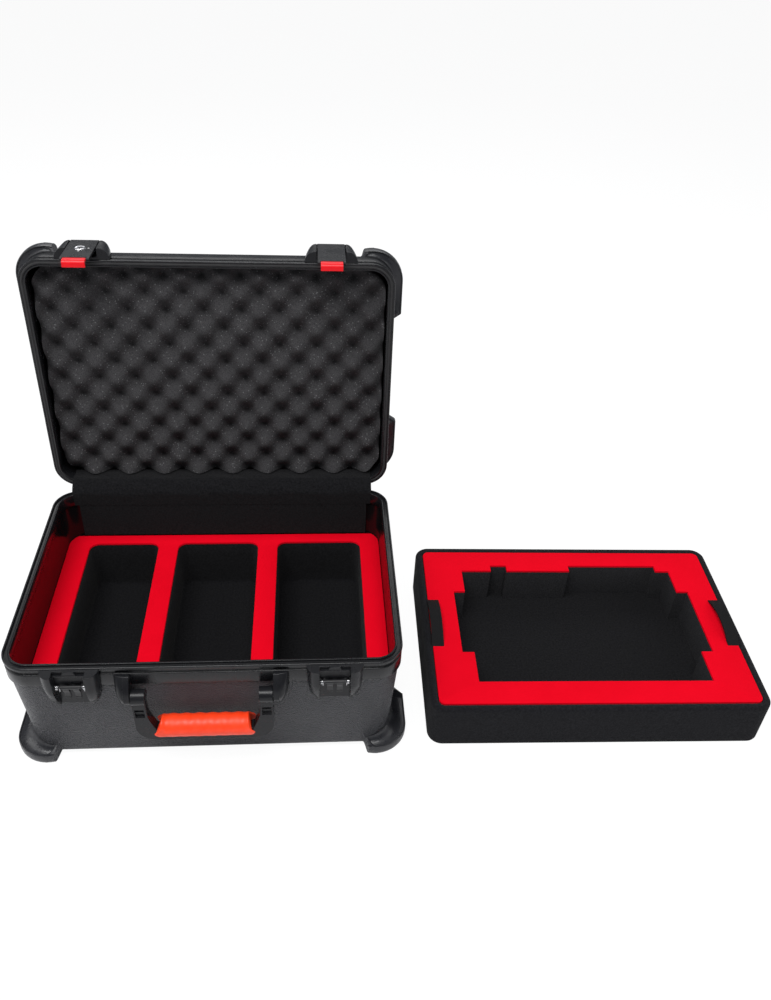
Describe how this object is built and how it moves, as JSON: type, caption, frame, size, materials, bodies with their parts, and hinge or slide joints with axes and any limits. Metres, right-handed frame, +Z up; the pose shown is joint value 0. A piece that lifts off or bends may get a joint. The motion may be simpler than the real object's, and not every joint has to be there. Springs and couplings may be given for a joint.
{
  "type": "hard-shell equipment case",
  "caption": "Black moulded gear case with open hinged lid, lever latches, drop handle, pocketed foam insert and a separate lift-out foam tray.",
  "frame": {"origin": "On the floor under the middle of the base shell's flat underside, at the height where it rests", "axes": "+X runs along the case's long side towards the loose tray, +Y runs from the handle side to the hinge side, +Z is up"},
  "size_m": [0.9038, 0.4081, 0.4867],
  "materials": {
    "shell_plastic": "pebbled black moulded plastic",
    "rim_metal": "satin black anodised extrusion",
    "grey_foam": "charcoal open-cell foam",
    "red_facing": "smooth red foam facing",
    "fleece": "short-napped dark fleece",
    "webbing": "black woven webbing",
    "latch_plastic": "fine-grained black nylon",
    "red_plastic": "semi-gloss red nylon",
    "orange_rubber": "soft orange-red rubber grip",
    "seal_rubber": "matt black sponge cord",
    "black_steel": "black coated steel",
    "bright_steel": "bright zinc-plated steel",
    "lock_chrome": "polished chrome"
  },
  "bodies": {
    "case_base": {"base_shell": "shell_plastic", "base_rim": "rim_metal", "base_foam": "grey_foam", "base_foam_facing": "red_facing", "pocket_linings": "fleece", "rear_lining": "fleece", "hinge_flap": "fleece", "hinge_leaf_base": "rim_metal", "hinge_rivets_base": "bright_steel", "hinge_pin": "bright_steel", "keeper_left": "latch_plastic", "keeper_right": "latch_plastic", "catch_pins": "bright_steel", "catch_springs": "bright_steel", "handle_bracket_left": "latch_plastic", "handle_bracket_right": "latch_plastic", "handle_pins": "bright_steel", "bracket_screws": "black_steel"},
    "lid": {"lid_shell": "shell_plastic", "lid_rim": "rim_metal", "rim_seal": "seal_rubber", "lid_foam": "grey_foam", "lid_lining": "fleece", "hinge_leaf_lid": "rim_metal", "hinge_rivets_lid": "bright_steel", "latch_housing_left": "latch_plastic", "latch_housing_right": "latch_plastic", "latch_pins": "bright_steel"},
    "lever_left": {"latch_lever_left": "latch_plastic", "tab_pin_left": "bright_steel"},
    "lever_right": {"latch_lever_right": "latch_plastic", "tab_pin_right": "bright_steel"},
    "lock": {"lock_cylinder": "lock_chrome"},
    "tab_left": {"release_tab_left": "red_plastic"},
    "tab_right": {"release_tab_right": "red_plastic"},
    "catch_left": {"catch_left": "black_steel"},
    "catch_right": {"catch_right": "black_steel"},
    "handle": {"handle_frame": "latch_plastic", "handle_grip": "orange_rubber"},
    "tray": {"tray_wall": "fleece", "tray_foam": "grey_foam", "tray_facing": "red_facing", "tray_lining": "fleece", "pull_strap_left": "webbing", "pull_strap_right": "webbing"}
  },
  "joints": [
    {"name": "lid_hinge", "type": "hinge", "parent": "case_base", "child": "lid", "pos_m": [0, 0.1575, 0.1605], "axis": [1, 0, 0], "range_deg": [0, 94], "deforming": ["hinge_flap"]},
    {"name": "lever_left_hinge", "type": "hinge", "parent": "lid", "child": "lever_left", "pos_m": [-0.141, 0.20724, 0.47755], "axis": [-1, 0, 0], "range_deg": [0, 90]},
    {"name": "lever_right_hinge", "type": "hinge", "parent": "lid", "child": "lever_right", "pos_m": [0.141, 0.20724, 0.47755], "axis": [-1, 0, 0], "range_deg": [0, 90]},
    {"name": "lock_turn", "type": "hinge", "parent": "lever_left", "child": "lock", "pos_m": [-0.141, 0.18063, 0.48417], "axis": [0, 0.0698, 0.9976], "range_deg": [0, 90]},
    {"name": "tab_left_press", "type": "hinge", "parent": "lever_left", "child": "tab_left", "pos_m": [-0.141, 0.14957, 0.48434], "axis": [-1, 0, 0], "range_deg": [0, 20], "stiffness_Nm_per_rad": 0.02},
    {"name": "tab_right_press", "type": "hinge", "parent": "lever_right", "child": "tab_right", "pos_m": [0.141, 0.14957, 0.48434], "axis": [-1, 0, 0], "range_deg": [0, 20], "stiffness_Nm_per_rad": 0.02},
    {"name": "catch_left_press", "type": "hinge", "parent": "case_base", "child": "catch_left", "pos_m": [-0.141, -0.15965, 0.138], "axis": [1, 0, 0], "range_deg": [0, 8], "stiffness_Nm_per_rad": 0.02},
    {"name": "catch_right_press", "type": "hinge", "parent": "case_base", "child": "catch_right", "pos_m": [0.141, -0.15965, 0.138], "axis": [1, 0, 0], "range_deg": [0, 8], "stiffness_Nm_per_rad": 0.02},
    {"name": "handle_swing", "type": "hinge", "parent": "case_base", "child": "handle", "pos_m": [-0.0025, -0.165, 0.126], "axis": [-1, 0, 0], "range_deg": [0, 88]},
    {"name": "tray_lift", "type": "slide", "parent": "case_base", "child": "tray", "axis": [0, 0, 1], "range_m": [0, 0.25]}
  ]
}
